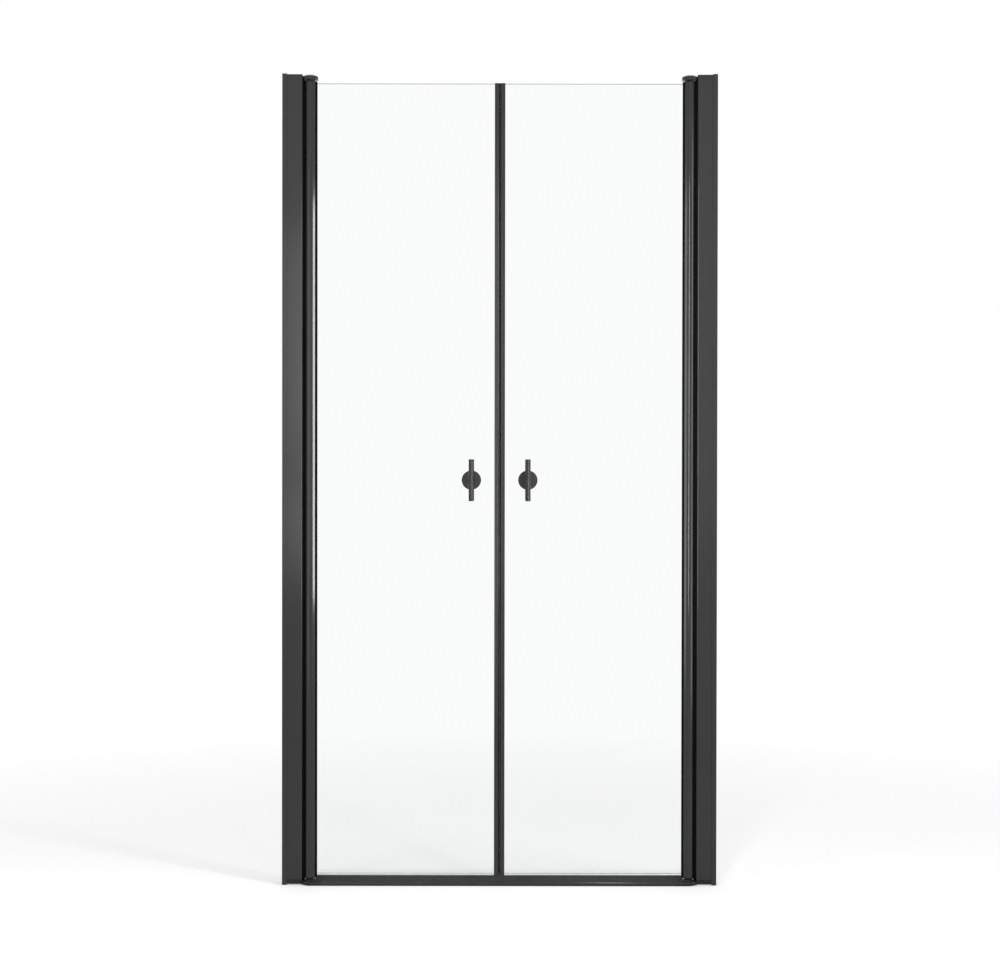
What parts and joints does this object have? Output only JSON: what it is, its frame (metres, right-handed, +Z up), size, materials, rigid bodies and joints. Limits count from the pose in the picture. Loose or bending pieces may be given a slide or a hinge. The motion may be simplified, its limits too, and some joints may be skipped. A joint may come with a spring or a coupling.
{
  "type": "pivot shower door",
  "caption": "Framed pivot shower door: clear glass leaves on black posts swing both ways between wall channels, over a low threshold bar.",
  "frame": {"origin": "on the floor, midway between the two walls, in the plane of the glass", "axes": "+X to the right seen from outside, +Y into the shower, +Z up"},
  "size_m": [0.992, 0.0956, 1.85],
  "materials": {
    "black_aluminium": "satin black powder coat",
    "black_zinc": "satin black coated die casting",
    "black_handle_metal": "satin black coated",
    "clear_glass": "clear toughened, ground edges",
    "clear_pvc": "clear flexible plastic",
    "black_rubber": "matt black rubber",
    "magnet_strip": "matt black flexible magnet",
    "black_plastic": "moulded black plastic",
    "nylon": "natural nylon",
    "black_nylon": "black bearing nylon",
    "stainless_steel": "turned stainless steel",
    "adhesive_tape": "foam mounting tape"
  },
  "bodies": {
    "frame": {"left_wall_channel": "black_aluminium", "left_frame_profile": "black_aluminium", "left_top_bracket": "black_zinc", "left_bottom_bracket": "black_zinc", "left_bracket_screws": "stainless_steel", "left_clamp_screws": "stainless_steel", "left_top_pivot_pin": "stainless_steel", "left_bottom_pivot_pin": "stainless_steel", "left_thrust_washer": "black_nylon", "left_pivot_seal": "black_rubber", "right_wall_channel": "black_aluminium", "right_frame_profile": "black_aluminium", "right_top_bracket": "black_zinc", "right_bottom_bracket": "black_zinc", "right_bracket_screws": "stainless_steel", "right_clamp_screws": "stainless_steel", "right_top_pivot_pin": "stainless_steel", "right_bottom_pivot_pin": "stainless_steel", "right_thrust_washer": "black_nylon", "right_pivot_seal": "black_rubber", "threshold_bar": "black_aluminium", "threshold_end_caps": "black_plastic", "threshold_tape": "adhesive_tape"},
    "left_leaf": {"left_pivot_post": "black_aluminium", "left_top_post_plug": "black_nylon", "left_bottom_post_plug": "black_nylon", "left_glass": "clear_glass", "left_glazing_gasket": "black_rubber", "left_closing_stile": "black_aluminium", "left_magnetic_seal": "magnet_strip", "left_bottom_seal": "clear_pvc", "left_outer_rosette": "black_handle_metal", "left_outer_handle_stem": "black_handle_metal", "left_outer_handle_bar": "black_handle_metal", "left_inner_rosette": "black_handle_metal", "left_inner_handle_stem": "black_handle_metal", "left_inner_handle_bar": "black_handle_metal", "left_handle_stud": "stainless_steel", "left_handle_washers": "nylon"},
    "right_leaf": {"right_pivot_post": "black_aluminium", "right_top_post_plug": "black_nylon", "right_bottom_post_plug": "black_nylon", "right_glass": "clear_glass", "right_glazing_gasket": "black_rubber", "right_closing_stile": "black_aluminium", "right_magnetic_seal": "magnet_strip", "right_bottom_seal": "clear_pvc", "right_outer_rosette": "black_handle_metal", "right_outer_handle_stem": "black_handle_metal", "right_outer_handle_bar": "black_handle_metal", "right_inner_rosette": "black_handle_metal", "right_inner_handle_stem": "black_handle_metal", "right_inner_handle_bar": "black_handle_metal", "right_handle_stud": "stainless_steel", "right_handle_washers": "nylon"}
  },
  "joints": [
    {"name": "left_leaf_swing", "type": "hinge", "parent": "frame", "child": "left_leaf", "pos_m": [-0.4334, 0, 0], "axis": [0, 0, -1], "range_deg": [-90, 90]},
    {"name": "right_leaf_swing", "type": "hinge", "parent": "frame", "child": "right_leaf", "pos_m": [0.4334, 0, 0], "axis": [0, 0, 1], "range_deg": [-90, 90]}
  ]
}
